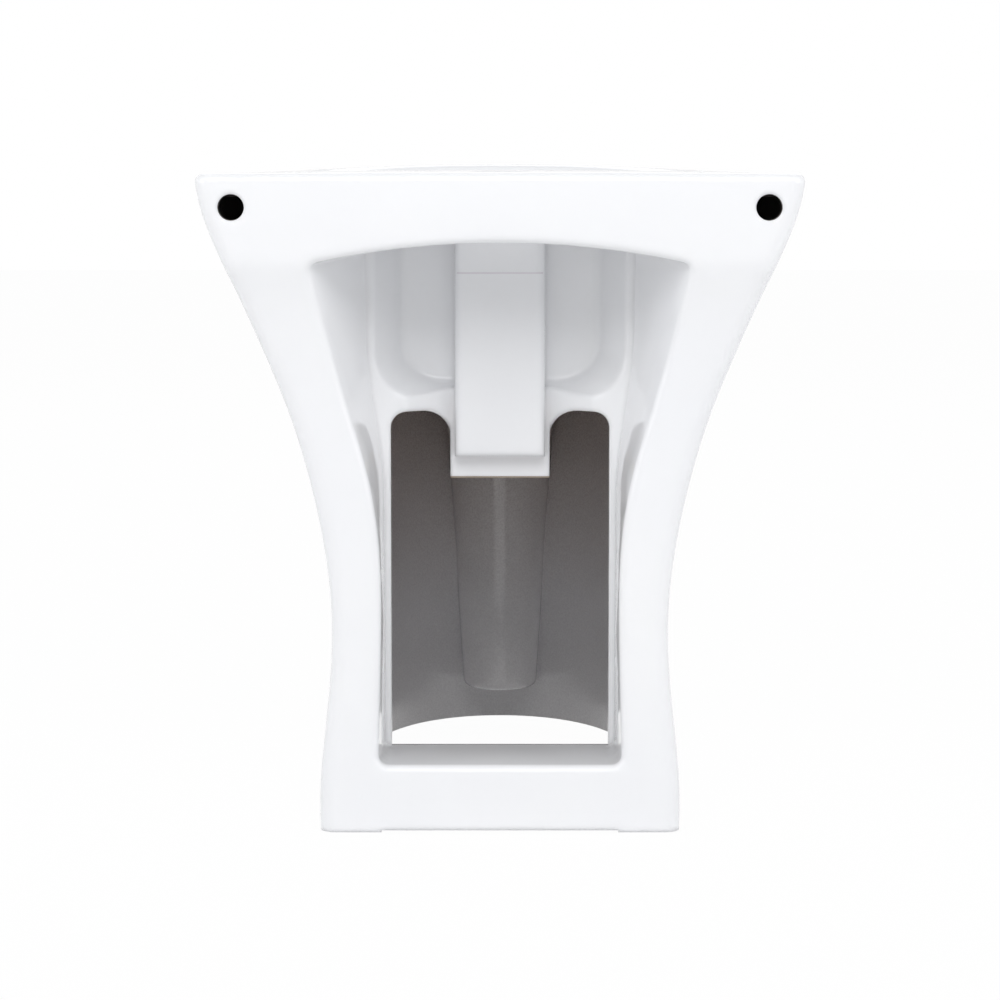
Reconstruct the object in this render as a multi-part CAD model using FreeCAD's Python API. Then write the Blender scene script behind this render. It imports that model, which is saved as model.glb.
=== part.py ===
import FreeCAD, Part
import math
import os

# A floor-standing bidet: one slip-cast body of vitreous china, a click-clack waste in its bowl,
# a trim ring on its overflow and the brackets that hold its foot to the floor.
# X runs left and right, the back that stands to the wall faces +Y, Z rises from the floor,
# and the origin is on the floor under the middle of the ware. All sizes are millimetres.

Vector = FreeCAD.Vector

# Whole ware
WARE_DEPTH = 556.0
RIM_FRONT_SETBACK = 2.1
RIM_HEIGHT = 399.0
RIM_SAG_BACK = 0.4
RIM_SAG_FRONT = 7.0
RIM_HALF_WIDTH = 182.0
WAIST_HALF_WIDTH = 102.0
WAIST_FRONT_DEPTH = 405.0
FOOT_FULLNESS = 5.5
RIM_FULLNESS = 5.0
CASTING_WALL = 9.0
DECK_THICKNESS = 14.0
BACK_CORNER_ROUND = 10.0
RIM_EDGE_ROUND = 5.0
FOOT_RELIEF = 1.2
FOOT_PAD_WIDTH = 30.0
FOOT_PAD_LENGTH = 40.0
CUT_MARGIN = 4.0
NEAR = 0.05

# Stations up the casting: share of the rim height, share of the flare from waist to rim, and the hind leg
# as a share of half the width there, on its back face and where the recess ends
STATIONS = (
    (0.0, 0.091, 0.32, 0.344),
    (0.115, 0.075, 0.315, 0.336),
    (0.294, 0.0, 0.292, 0.298),
    (0.436, 0.058, 0.313, 0.326),
    (0.538, 0.166, 0.305, 0.372),
    (0.64, 0.319, 0.279, 0.389),
    (0.743, 0.523, 0.289, 0.428),
    (0.819, 0.685, 0.316, 0.472),
    (0.883, 0.83, 0.356, 0.505),
    (0.948, 0.95, 0.399, 0.534),
    (1.024, 1.0, 0.412, 0.549),
)
PLAN_STEPS = 12
BACK_OVERRUN = 30.0

# Back of the casting under the flat band: share of the rim height, and how far it is set forward
COVE = (
    (0.875, 0.0),
    (0.845, 2.6),
    (0.807, 7.0),
    (0.743, 12.0),
    (0.64, 16.5),
    (0.512, 18.0),
    (0.307, 17.0),
    (0.115, 14.5),
    (-0.02, 13.0),
)
LEG_FACE_DEPTH = 15.0

# Recess in the back, and what shows in it
BAND_WALL = 12.0
RECESS_DEPTH = 78.0
SILL_HEIGHT = 40.6
ARCH_DROP = 41.496
ARCH_RADIUS = 516.0
RECESS_SILL_ROUND = 6.0
RECESS_TOP_ROUND = 5.0
RECESS_MOUTH_ROUND = 4.5
SKIN = 8.0
OPENING_LIP = 4.0
OPENING_DROP = 148.428
OPENING_OUTER_ROUND = 10.0
OPENING_INNER_ROUND = 18.0
POCKET_DEPTH = 106.0
POCKET_INSET = 1.3
POCKET_TAPER = 18.0
POCKET_BAR = 7.0
POCKET_FLOOR_RISE = 9.0
POCKET_CORNER_ROUND = 30.0
POCKET_FLOOR_ROUND = 7.0
POCKET_WALL = 14.0
RECESS_LOOP_ROUND = 2.6
CHAMBER_SPREAD = 1.0
CHAMBER_DROP = 79.8
OVERFLOW_BOX_HALF = 28.0
OVERFLOW_BOX_DEPTH = 86.0
OVERFLOW_BOX_FLOOR = 18.6
OVERFLOW_BOX_ROUND = 4.0
APRON_HALF = 31.0
APRON_DEPTH = 98.0
APRON_DROP = 14.4
APRON_WALL = 10.0

# Bowl: height under the rim, then the shares of the way out from the drain seat to the rim
# that its middle, its half length and its half width have gone, rim first and drain seat last
BOWL = (
    (-9.5, 1.0, 1.0, 1.0),
    (4.5, 1.0, 0.988, 0.981),
    (28.5, 0.992, 0.946, 0.926),
    (55.5, 0.952, 0.873, 0.833),
    (82.5, 0.856, 0.753, 0.704),
    (104.5, 0.68, 0.572, 0.528),
    (120.5, 0.4, 0.331, 0.306),
    (129.5, 0.096, 0.078, 0.083),
    (133.5, 0.0, 0.0, 0.0),
)
BOWL_SIDE_MARGIN = 41.0
BOWL_FRONT_MARGIN = 37.0
BOWL_BACK_DEPTH = 121.0
BOWL_SEAT_RADIUS = 33.0
BOWL_SQUARENESS = 2.3
BOWL_WALL = 9.0
BOWL_EDGE_ROUND = 8.0
BOWL_STEPS = 24

# Holes in the casting
DRAIN_DEPTH = 195.0
DRAIN_HOLE_RADIUS = 23.0
DRAIN_BOSS_RADIUS = 33.0
DRAIN_BOSS_THICK = 33.0
TAP_HOLE_RADIUS = 17.5
TAP_HOLE_DEPTH = 52.0
VENT_RADIUS = 7.8
VENT_INSET = 23.0
VENT_DROP = 20.6
OVERFLOW_HOLE_RADIUS = 11.0
OVERFLOW_HOLE_DROP = 42.5
OVERFLOW_CHANNEL_HALF = 19.0
OVERFLOW_CHANNEL_WALL = 8.0
OVERFLOW_CHANNEL_DROP = 26.5
OVERFLOW_DUCT_HALF = 12.0
OVERFLOW_DUCT_HEIGHT = 14.0
OVERFLOW_DUCT_UNDER_SEAT = 25.0
DUCT_BLOCK_HALF = 22.0

# Pillar on the inside of the front wall
PILLAR_BOTTOM = 26.0
PILLAR_DROP = 105.5
PILLAR_FOOT_RADIUS = 26.0
PILLAR_HEAD_RADIUS = 43.0
PILLAR_FOOT_SETBACK = 17.0
PILLAR_HEAD_SETBACK = 1.0
PILLAR_END_ROUND = 6.0

# Side fixings through the foot, the brackets inside it and their clearances
FIXING_HEIGHT = 42.0
FIXING_DEPTH = 200.0
FIXING_HOLE_RADIUS = 6.0
SPOT_FACE_DEPTH = 0.8
SPOT_FACE_RADIUS = 10.2
SLEEVE_FLANGE_RADIUS = 8.0
SLEEVE_FLANGE_THICK = 1.6
SLEEVE_CLEARANCE = 0.3
SLEEVE_END_GAP = 0.8
SCREW_RADIUS = 3.0
SCREW_CLEARANCE = 0.15
SCREW_HEAD_RADIUS = 5.4
SCREW_HEAD_HEIGHT = 3.0
SCREW_PAST_BRACKET = 6.0
CAP_WALL = 1.3
CAP_CLEARANCE = 0.15
CAP_HEADROOM = 0.6
CAP_ROUND = 2.2
BRACKET_WALL_GAP = 2.0
BRACKET_THICK = 7.0
BRACKET_HEIGHT = 62.0
BRACKET_WIDTH = 36.0
BRACKET_FOOT_LENGTH = 41.0
BRACKET_FOOT_THICK = 5.0
BRACKET_RIB_THICK = 4.0
BRACKET_RIB_REACH = 13.0
BRACKET_RIB_SHORT = 10.0
BRACKET_ROUND = 5.0
FLOOR_HOLE_RADIUS = 4.2
FLOOR_HOLE_INSET = 29.0

# Trim ring in the overflow
RING_FLANGE_RADIUS = 14.5
RING_FLANGE_THICK = 2.0
RING_FLANGE_ROUND = 0.9
RING_TUBE_LENGTH = 14.0
RING_WALL = 1.5
RING_CLEARANCE = 0.3
RING_SPOT_DEPTH = 0.5
RING_SPOT_MARGIN = 0.7

# Waste: the flanged tail with its seals and nut
FLANGE_SEAL_THICK = 1.5
FLANGE_SEAL_RADIUS = 30.0
WASTE_FLANGE_RADIUS = 31.5
WASTE_FLANGE_THICK = 3.5
WASTE_FLANGE_ROUND = 1.5
TAIL_RADIUS = 20.95
TAIL_BORE_RADIUS = 18.3
TAIL_BELOW_NUT = 17.0
TAIL_GROOVE_WIDTH = 2.0
TAIL_GROOVE_DEPTH = 0.6
SEAL_CLEARANCE = 0.25
THREAD_CLEARANCE = 0.15
PLUG_SEAT_RADIUS = 24.5
PLUG_SEAT_DROP = 6.0
TAIL_SLOT_WIDTH = 16.0
TAIL_SLOT_MARGIN = 1.0
LOWER_SEAL_THICK = 4.0
LOWER_SEAL_RADIUS = 32.5
SLIP_WASHER_THICK = 2.0
SLIP_WASHER_RADIUS = 31.5
NUT_HEIGHT = 9.0
NUT_ACROSS_FLATS = 50.0
NUT_COLLAR_RADIUS = 30.0
NUT_COLLAR_THICK = 2.5
BRIDGE_THICK = 3.0
BRIDGE_BAR_WIDTH = 5.0
BRIDGE_HUB_RADIUS = 6.0

# Plug, and the cartridge that latches it
PLUG_RISE = 8.0
CAP_RADIUS = 30.5
CAP_EDGE_HEIGHT = 2.2
CAP_DOME_HEIGHT = 5.0
CAP_EDGE_ROUND = 1.0
PLUG_GAP = 0.4
PLUG_HUB_RADIUS = 14.0
PLUG_HUB_DEPTH = 5.0
PLUG_BOSS_RADIUS = 6.5
PLUG_BOSS_LENGTH = 2.5
PLUG_SEAL_DEPTH = 3.8
PLUG_SEAL_FIT = 0.1
STEM_RADIUS = 3.2
STEM_FIT = 0.1
STEM_INTO_CAP = 1.2
PISTON_RADIUS = 5.6
PISTON_THICK = 3.0
CARTRIDGE_BORE_RADIUS = 6.0
CARTRIDGE_WALL = 2.0
CARTRIDGE_END_WALL = 2.0
CARTRIDGE_FLOOR = 3.0
CARTRIDGE_HEADROOM = 1.4
CARTRIDGE_STUD_RADIUS = 2.5
CARTRIDGE_STUD_LENGTH = 6.0
STEM_GUIDE_GAP = 0.4
SPRING_LENGTH = 8.0
SPRING_END_GAP = 0.1
SPRING_TURNS = 4
SPRING_RADIUS = 4.5
SPRING_WIRE_RADIUS = 0.45

BACK_Y = (WARE_DEPTH - RIM_FRONT_SETBACK) / 2
DECK_UNDERSIDE = RIM_HEIGHT - DECK_THICKNESS
ARCH_TOP = RIM_HEIGHT - ARCH_DROP
OPENING_TOP = RIM_HEIGHT - OPENING_DROP
CHAMBER_BOTTOM = RIM_HEIGHT - CHAMBER_DROP
BOWL_HALF_LENGTH = (WARE_DEPTH - BOWL_FRONT_MARGIN - BOWL_BACK_DEPTH) / 2
BOWL_HALF_WIDTH = RIM_HALF_WIDTH - BOWL_SIDE_MARGIN
BOWL_MIDDLE_DEPTH = BOWL_BACK_DEPTH + BOWL_HALF_LENGTH
SEAT_HEIGHT = RIM_HEIGHT - BOWL[-1][0]
DRAIN_BOSS_BOTTOM = SEAT_HEIGHT - DRAIN_BOSS_THICK
OVERFLOW_DUCT_FLOOR = SEAT_HEIGHT - OVERFLOW_DUCT_UNDER_SEAT
OVERFLOW_DUCT_TOP = OVERFLOW_DUCT_FLOOR + OVERFLOW_DUCT_HEIGHT
OVERFLOW_BOX_BOTTOM = OVERFLOW_DUCT_FLOOR - OVERFLOW_BOX_FLOOR
APRON_BOTTOM = OVERFLOW_BOX_BOTTOM - APRON_DROP
POCKET_MOUTH_BOTTOM = OPENING_TOP + POCKET_BAR
POCKET_FLOOR_BOTTOM = POCKET_MOUTH_BOTTOM + POCKET_FLOOR_RISE


def at(depth):
    """The Y of a place this far forward of the wall plane."""
    return BACK_Y - depth


def share_between(low, high, value):
    return (value - low) / (high - low)


def half_width(flare):
    return WAIST_HALF_WIDTH + flare * (RIM_HALF_WIDTH - WAIST_HALF_WIDTH)


def front_depth(flare):
    return WAIST_FRONT_DEPTH + flare * (WARE_DEPTH - WAIST_FRONT_DEPTH)


def station_at(height):
    """The flare of the casting and the inner share of its hind leg at a height, read between its stations."""
    share = height / RIM_HEIGHT
    for lower, upper in zip(STATIONS, STATIONS[1:]):
        if lower[0] <= share <= upper[0]:
            along = share_between(lower[0], upper[0], share)
            flare = lower[1] + along * (upper[1] - lower[1])
            leg_inside = lower[3] + along * (upper[3] - lower[3])
            return flare, leg_inside


def recess_half_at(height):
    """Half the width of the recess where its walls end."""
    flare, leg_inside = station_at(height)
    return half_width(flare) * (1 - leg_inside)


OPENING_HALF = recess_half_at(SILL_HEIGHT) - OPENING_LIP
POCKET_MOUTH_HALF = recess_half_at(POCKET_MOUTH_BOTTOM + POCKET_CORNER_ROUND) - POCKET_INSET
POCKET_FLOOR_HALF = POCKET_MOUTH_HALF - POCKET_TAPER
CHAMBER_HALF = POCKET_MOUTH_HALF + CHAMBER_SPREAD


def block(half, near, far, low, high):
    """A block as wide as twice the half width, from one depth to another."""
    return Part.makeBox(2 * half, far - near, high - low, Vector(-half, at(far), low))


def upright(radius, depth, low, high):
    return Part.makeCylinder(radius, high - low, Vector(0, at(depth), low))


def half_space(side):
    """A block that holds everything on one side of the middle."""
    size = 2 * WARE_DEPTH
    return Part.makeBox(size, size, size, Vector((side - 1) / 2 * size, -size / 2, -size / 2))


def edges_where(shape, test):
    """The edges whose middle passes the test."""
    chosen = []
    for edge in shape.Edges:
        first, last = edge.ParameterRange
        if test(edge.valueAt((first + last) / 2), edge):
            chosen.append(edge)
    return chosen


def plan_wire(height, flare, inset):
    """A plan of the casting: parallel sides run out past the back and close in a round front."""
    wide = half_width(flare) - inset
    long = front_depth(flare) - inset + BACK_OVERRUN
    fullness = FOOT_FULLNESS + flare * (RIM_FULLNESS - FOOT_FULLNESS)
    points = []
    turns = []
    for step in range(2 * PLAN_STEPS + 1):
        turn = math.pi * step / (2 * PLAN_STEPS)
        reach = math.sin(turn)
        side = wide * math.sqrt(max(0.0, 1 - reach ** fullness))
        if step > PLAN_STEPS:
            side = -side
        points.append(Vector(side, at(-BACK_OVERRUN) - long * reach, height))
        turns.append(turn)
    curve = Part.BSplineCurve()
    curve.interpolate(Points=points, Parameters=turns)
    return Part.Wire([curve.toShape(), Part.makeLine(points[-1], points[0])])


def casting_form(inset):
    """The flared form of the casting, this far inside its outer face, still open-ended at the back."""
    wires = []
    for share, flare, leg_back, leg_inside in STATIONS:
        wires.append(plan_wire(share * RIM_HEIGHT, flare, inset))
    return Part.makeLoft(wires, True, False)


def behind_back(forward):
    """All that lies behind the back face, this far forward of it: the flat band, then the cove under it."""
    points = []
    for share, set_forward in COVE:
        points.append(Vector(0, at(set_forward + forward), share * RIM_HEIGHT))
    curve = Part.BSplineCurve()
    curve.interpolate(Points=points, InitialTangent=Vector(0, 0, -1), FinalTangent=Vector(0, 0.02, -1))
    above = Vector(0, at(forward), RIM_HEIGHT * 1.1)
    far_above = Vector(0, at(-2 * BACK_OVERRUN), RIM_HEIGHT * 1.1)
    far_below = Vector(0, at(-2 * BACK_OVERRUN), points[-1].z)
    edges = [
        curve.toShape(),
        Part.makeLine(points[-1], far_below),
        Part.makeLine(far_below, far_above),
        Part.makeLine(far_above, above),
        Part.makeLine(above, points[0]),
    ]
    face = Part.Face(Part.Wire(edges))
    face.translate(Vector(-2 * RIM_HALF_WIDTH, 0, 0))
    return face.extrude(Vector(4 * RIM_HALF_WIDTH, 0, 0))


def crown(top):
    """All that lies under a top that is nearly level at the back and falls to both sides at the front."""
    wires = []
    half = 1.2 * RIM_HALF_WIDTH
    for depth, sag in ((-BACK_OVERRUN, RIM_SAG_BACK), (WARE_DEPTH + BACK_OVERRUN, RIM_SAG_FRONT)):
        side_top = top - sag * (half / RIM_HALF_WIDTH) ** 2
        left = Vector(-half, at(depth), side_top)
        right = Vector(half, at(depth), side_top)
        low_left = Vector(-half, at(depth), -BACK_OVERRUN)
        low_right = Vector(half, at(depth), -BACK_OVERRUN)
        edges = [
            Part.Arc(left, Vector(0, at(depth), top), right).toShape(),
            Part.makeLine(right, low_right),
            Part.makeLine(low_right, low_left),
            Part.makeLine(low_left, left),
        ]
        wires.append(Part.Wire(edges))
    return Part.makeLoft(wires, True, True)


def recess_outline(depth, widen):
    """The tall outline between the hind legs at one depth, wider than the recess by so much on each side."""
    along = (depth - LEG_FACE_DEPTH) / (RECESS_DEPTH - LEG_FACE_DEPTH)
    right = []
    for share, flare, leg_back, leg_inside in STATIONS:
        leg = leg_back + along * (leg_inside - leg_back)
        right.append(Vector(half_width(flare) * (1 - leg) + widen, at(depth), share * RIM_HEIGHT))
    left = [Vector(-point.x, point.y, point.z) for point in reversed(right)]
    right_side = Part.BSplineCurve()
    right_side.interpolate(right)
    left_side = Part.BSplineCurve()
    left_side.interpolate(left)
    edges = [
        right_side.toShape(),
        Part.makeLine(right[-1], left[0]),
        left_side.toShape(),
        Part.makeLine(left[-1], right[0]),
    ]
    return Part.Wire(edges)


def between_legs(near, far, widen):
    return Part.makeLoft([recess_outline(near, widen), recess_outline(far, widen)], True, True)


def arch_window(near, far):
    """A window with a flat sill and an arched head."""
    half = 0.8 * RIM_HALF_WIDTH
    spring = ARCH_TOP - ARCH_RADIUS + math.sqrt(ARCH_RADIUS ** 2 - half ** 2)
    low_left = Vector(-half, at(near), SILL_HEIGHT)
    low_right = Vector(half, at(near), SILL_HEIGHT)
    high_left = Vector(-half, at(near), spring)
    high_right = Vector(half, at(near), spring)
    head = Part.Arc(high_right, Vector(0, at(near), ARCH_TOP), high_left).toShape()
    edges = [
        Part.makeLine(low_left, low_right),
        Part.makeLine(low_right, high_right),
        head,
        Part.makeLine(high_left, low_left),
    ]
    return Part.Face(Part.Wire(edges)).extrude(Vector(0, near - far, 0))


def dish():
    """The splayed part of the recess, from behind the ware to where its walls end."""
    form = between_legs(-2 * CUT_MARGIN, RECESS_DEPTH, 0.0).common(arch_window(-2 * CUT_MARGIN, RECESS_DEPTH))
    middle = at(RECESS_DEPTH / 2)

    def runs_forward(point):
        return abs(point.y - middle) < RECESS_DEPTH / 3 and abs(point.x) > OPENING_HALF / 2

    def at_sill(point, edge):
        return point.z < SILL_HEIGHT + CUT_MARGIN and runs_forward(point)

    def at_head(point, edge):
        return point.z > CHAMBER_BOTTOM and runs_forward(point)

    form = form.makeFillet(RECESS_SILL_ROUND, edges_where(form, at_sill))
    return form.makeFillet(RECESS_TOP_ROUND, edges_where(form, at_head))


def pocket_outline(depth, half, bottom, top):
    corners = [
        Vector(-half, at(depth), bottom),
        Vector(half, at(depth), bottom),
        Vector(half, at(depth), top),
        Vector(-half, at(depth), top),
    ]
    return Part.makePolygon(corners + corners[:1])


def pockets():
    """The two deep pockets, one on each side of the overflow box, as one trough that the box stands in."""
    top = DECK_UNDERSIDE - RIM_SAG_BACK
    mouth = pocket_outline(RECESS_DEPTH - CUT_MARGIN, POCKET_MOUTH_HALF, POCKET_MOUTH_BOTTOM, top)
    floor = pocket_outline(POCKET_DEPTH, POCKET_FLOOR_HALF, POCKET_FLOOR_BOTTOM, top)
    form = Part.makeLoft([mouth, floor], True, True)

    def low_corner(point, edge):
        return point.z < POCKET_FLOOR_BOTTOM and abs(point.x) > POCKET_FLOOR_HALF

    def floor_edge(point, edge):
        return abs(point.y - at(POCKET_DEPTH)) < 0.1 and point.z < top - 1

    form = form.makeFillet(POCKET_CORNER_ROUND, edges_where(form, low_corner))
    return form.makeFillet(POCKET_FLOOR_ROUND, edges_where(form, floor_edge))


def overflow_box():
    """The covered channel that runs down the back of the bowl."""
    far = POCKET_DEPTH + POCKET_WALL
    form = block(OVERFLOW_BOX_HALF, OVERFLOW_BOX_DEPTH, far, OVERFLOW_BOX_BOTTOM, RIM_HEIGHT)

    def outer_edge(point, edge):
        upright_edge = abs(point.x) > OVERFLOW_BOX_HALF - 1
        bottom_edge = point.z < OVERFLOW_BOX_BOTTOM + 1
        return abs(point.y - at(OVERFLOW_BOX_DEPTH)) < 1 and (upright_edge or bottom_edge)

    return form.makeFillet(OVERFLOW_BOX_ROUND, edges_where(form, outer_edge))


def shoulder(side, near, far):
    """The curved corner between the top of an arch and the apron, from one depth to another."""
    radius = OPENING_INNER_ROUND
    inside = side * (APRON_HALF - CUT_MARGIN)
    middle = side * (APRON_HALF + radius)
    slant = radius * math.sqrt(0.5)
    low = OPENING_TOP - radius
    corner_inside = Vector(inside, at(near), OPENING_TOP + CUT_MARGIN / 2)
    corner_outside = Vector(middle, at(near), OPENING_TOP + CUT_MARGIN / 2)
    arch_end = Vector(middle, at(near), OPENING_TOP)
    on_arc = Vector(middle - side * slant, at(near), low + slant)
    apron_end = Vector(side * APRON_HALF, at(near), low)
    low_inside = Vector(inside, at(near), low)
    edges = [
        Part.makeLine(corner_inside, corner_outside),
        Part.makeLine(corner_outside, arch_end),
        Part.Arc(arch_end, on_arc, apron_end).toShape(),
        Part.makeLine(apron_end, low_inside),
        Part.makeLine(low_inside, corner_inside),
    ]
    return Part.Face(Part.Wire(edges)).extrude(Vector(0, near - far, 0))


def opening():
    """The way through the recess into the hollow foot: two arches with the apron between them."""
    near = RECESS_DEPTH - 2 * CUT_MARGIN
    far = POCKET_DEPTH + POCKET_WALL - CUT_MARGIN / 2
    form = block(OPENING_HALF, near, far, SILL_HEIGHT, OPENING_TOP)

    def outer_corner(point, edge):
        return point.z > OPENING_TOP - 1 and edge.BoundBox.YLength > far - near - 1

    form = form.makeFillet(OPENING_OUTER_ROUND, edges_where(form, outer_corner))
    form = form.cut(block(APRON_HALF, APRON_DEPTH, far + CUT_MARGIN, APRON_BOTTOM, RIM_HEIGHT))
    for side in (-1, 1):
        form = form.cut(shoulder(side, near - CUT_MARGIN, far + CUT_MARGIN))
    return form


def ramp_half(depth):
    """How far from the middle the bar over the arches slopes away to the apron, at one depth."""
    start = OPENING_HALF - OPENING_OUTER_ROUND
    return start + share_between(RECESS_DEPTH, APRON_DEPTH, depth) * (APRON_HALF - start)


def slot():
    """The room round the overflow box, between the sloping ends of the bar."""
    low = OPENING_TOP - OPENING_INNER_ROUND - CUT_MARGIN
    high = POCKET_FLOOR_BOTTOM + POCKET_CORNER_ROUND
    near = RECESS_DEPTH - CUT_MARGIN
    near_outline = pocket_outline(near, ramp_half(near), low, high)
    far_outline = pocket_outline(APRON_DEPTH, APRON_HALF, low, high)
    return Part.makeLoft([near_outline, far_outline], True, True)


def recess():
    """Everything that is hollow in the back of the ware."""
    chamber = block(CHAMBER_HALF, BAND_WALL, RECESS_DEPTH, CHAMBER_BOTTOM, DECK_UNDERSIDE - RIM_SAG_BACK)
    form = dish().fuse([pockets(), opening(), chamber, slot()])
    form = form.cut(overflow_box()).removeSplitter()

    def on_end(point, edge):
        level = abs(point.y - at(RECESS_DEPTH)) < NEAR and edge.BoundBox.YLength < NEAR
        inner = abs(point.x) < POCKET_MOUTH_HALF - 1 and point.z > SILL_HEIGHT + RECESS_SILL_ROUND
        return level and inner and edge.Length < RIM_HEIGHT * 0.64

    def on_ramp(point):
        depth = BACK_Y - point.y
        sloping = RECESS_DEPTH + NEAR < depth < APRON_DEPTH - NEAR
        return sloping and abs(abs(point.x) - ramp_half(depth)) < NEAR

    def arch_edge(point, edge):
        return point.z < OPENING_TOP + NEAR and (on_end(point, edge) or on_ramp(point))

    def pocket_edge(point, edge):
        upright_end = edge.BoundBox.XLength < NEAR and point.z < POCKET_MOUTH_BOTTOM + POCKET_BAR
        return point.z > POCKET_MOUTH_BOTTOM - NEAR and on_end(point, edge) and not upright_end

    form = form.makeFillet(RECESS_LOOP_ROUND, edges_where(form, arch_edge))
    return form.makeFillet(RECESS_LOOP_ROUND, edges_where(form, pocket_edge))


def bowl_wire(height, depth, half_length, half_wide):
    """An oval plan of the bowl, a little squarer than an ellipse."""
    points = []
    turns = []
    for step in range(BOWL_STEPS):
        turn = 2 * math.pi * step / BOWL_STEPS
        turns.append(turn)
        across = math.copysign(abs(math.cos(turn)) ** (2 / BOWL_SQUARENESS), math.cos(turn))
        along = math.copysign(abs(math.sin(turn)) ** (2 / BOWL_SQUARENESS), math.sin(turn))
        points.append(Vector(half_wide * across, at(depth + half_length * along), height))
    curve = Part.BSplineCurve()
    curve.interpolate(Points=points, PeriodicFlag=True, Parameters=turns + [2 * math.pi])
    return Part.Wire([curve.toShape()])


def bowl_row(row):
    """The height, the depth of the middle, and the half length and half width of one row of the bowl."""
    drop, middle, length, width = row
    depth = DRAIN_DEPTH + middle * (BOWL_MIDDLE_DEPTH - DRAIN_DEPTH)
    half_length = BOWL_SEAT_RADIUS + length * (BOWL_HALF_LENGTH - BOWL_SEAT_RADIUS)
    half_wide = BOWL_SEAT_RADIUS + width * (BOWL_HALF_WIDTH - BOWL_SEAT_RADIUS)
    return RIM_HEIGHT - drop, depth, half_length, half_wide


def bowl(wall):
    """The inside of the bowl, or with a wall its outside."""
    top = RIM_HEIGHT - BOWL[0][0]
    wires = []
    for row in BOWL:
        height, depth, half_length, half_wide = bowl_row(row)
        lower = wall * math.sqrt((top - height) / (top - SEAT_HEIGHT))
        wires.append(bowl_wire(height - lower, depth, half_length + wall, half_wide + wall))
    return Part.makeLoft(wires, True, False)


def pillar_plan(radius, depth, height):
    """A half round that faces the back, with straight sides running forward into the front wall."""
    right = Vector(radius, at(depth), height)
    left = Vector(-radius, at(depth), height)
    nose = Vector(0, at(depth - radius), height)
    front_right = Vector(radius, at(WARE_DEPTH), height)
    front_left = Vector(-radius, at(WARE_DEPTH), height)
    edges = [
        Part.Arc(right, nose, left).toShape(),
        Part.makeLine(left, front_left),
        Part.makeLine(front_left, front_right),
        Part.makeLine(front_right, right),
    ]
    return Part.Wire(edges)


def pillar():
    """The tapered half-round pillar that stiffens the front wall from inside."""
    foot = pillar_plan(PILLAR_FOOT_RADIUS, WAIST_FRONT_DEPTH - PILLAR_FOOT_SETBACK, PILLAR_BOTTOM)
    head = pillar_plan(PILLAR_HEAD_RADIUS, WAIST_FRONT_DEPTH - PILLAR_HEAD_SETBACK, RIM_HEIGHT - PILLAR_DROP)
    form = Part.makeLoft([foot, head], True, True)

    def foot_edge(point, edge):
        return abs(point.z - PILLAR_BOTTOM) < 0.1 and point.y > at(WARE_DEPTH - 1)

    return form.makeFillet(PILLAR_END_ROUND, edges_where(form, foot_edge))


def hollow():
    """The space inside the casting, between its outer wall, the bowl and the walls of the recess."""
    form = casting_form(CASTING_WALL).cut(behind_back(BAND_WALL))
    form = form.common(crown(DECK_UNDERSIDE))
    walls = between_legs(-2 * CUT_MARGIN, RECESS_DEPTH + SKIN, SKIN)
    walls = walls.common(block(RIM_HALF_WIDTH, -3 * CUT_MARGIN, WARE_DEPTH, SILL_HEIGHT - SKIN, RIM_HEIGHT))
    far = POCKET_DEPTH + POCKET_WALL
    pocket_low = POCKET_MOUTH_BOTTOM - SKIN
    pocket_walls = block(POCKET_MOUTH_HALF + SKIN, RECESS_DEPTH / 2, far, pocket_low, RIM_HEIGHT)
    apron = block(APRON_HALF, APRON_DEPTH, APRON_DEPTH + APRON_WALL, APRON_BOTTOM, RIM_HEIGHT)
    duct = block(DUCT_BLOCK_HALF, APRON_DEPTH, DRAIN_DEPTH, DRAIN_BOSS_BOTTOM, SEAT_HEIGHT + BOWL_WALL)
    boss = upright(DRAIN_BOSS_RADIUS, DRAIN_DEPTH, DRAIN_BOSS_BOTTOM, SEAT_HEIGHT)
    shoulders = [shoulder(side, RECESS_DEPTH, APRON_DEPTH + APRON_WALL) for side in (-1, 1)]
    spared = [walls, pocket_walls, overflow_box(), bowl(BOWL_WALL), apron, duct, boss, pillar()] + shoulders
    for wall in spared:
        form = form.cut(wall)
    return form


def side_at(height, depth, inset):
    """How far the side of the casting lies from the middle."""
    flare, leg_inside = station_at(height)
    fullness = FOOT_FULLNESS + flare * (RIM_FULLNESS - FOOT_FULLNESS)
    reach = (depth + BACK_OVERRUN) / (front_depth(flare) - inset + BACK_OVERRUN)
    return (half_width(flare) - inset) * math.sqrt(1 - reach ** fullness)


def bowl_back_at(height):
    """The depth of the bowl's back wall at a height, and the way that it faces there."""
    rows = [bowl_row(row) for row in BOWL]
    for upper, lower in zip(rows, rows[1:]):
        if lower[0] <= height <= upper[0]:
            high_depth = upper[1] - upper[2]
            low_depth = lower[1] - lower[2]
            depth = high_depth + share_between(upper[0], lower[0], height) * (low_depth - high_depth)
            facing = Vector(0, lower[0] - upper[0], low_depth - high_depth)
            return depth, facing.normalize()


FIXING_SEAT = side_at(FIXING_HEIGHT, FIXING_DEPTH, 0.0) - SPOT_FACE_DEPTH
FIXING_INSIDE = side_at(FIXING_HEIGHT, FIXING_DEPTH, CASTING_WALL)
BRACKET_FACE = side_at(BRACKET_HEIGHT, FIXING_DEPTH + BRACKET_WIDTH / 2, CASTING_WALL) - BRACKET_WALL_GAP
OVERFLOW_HOLE_HEIGHT = RIM_HEIGHT - OVERFLOW_HOLE_DROP
OVERFLOW_WALL_DEPTH, OVERFLOW_FACING = bowl_back_at(OVERFLOW_HOLE_HEIGHT)
OVERFLOW_SEAT = Vector(0, at(OVERFLOW_WALL_DEPTH), OVERFLOW_HOLE_HEIGHT) - OVERFLOW_FACING * RING_SPOT_DEPTH

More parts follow.
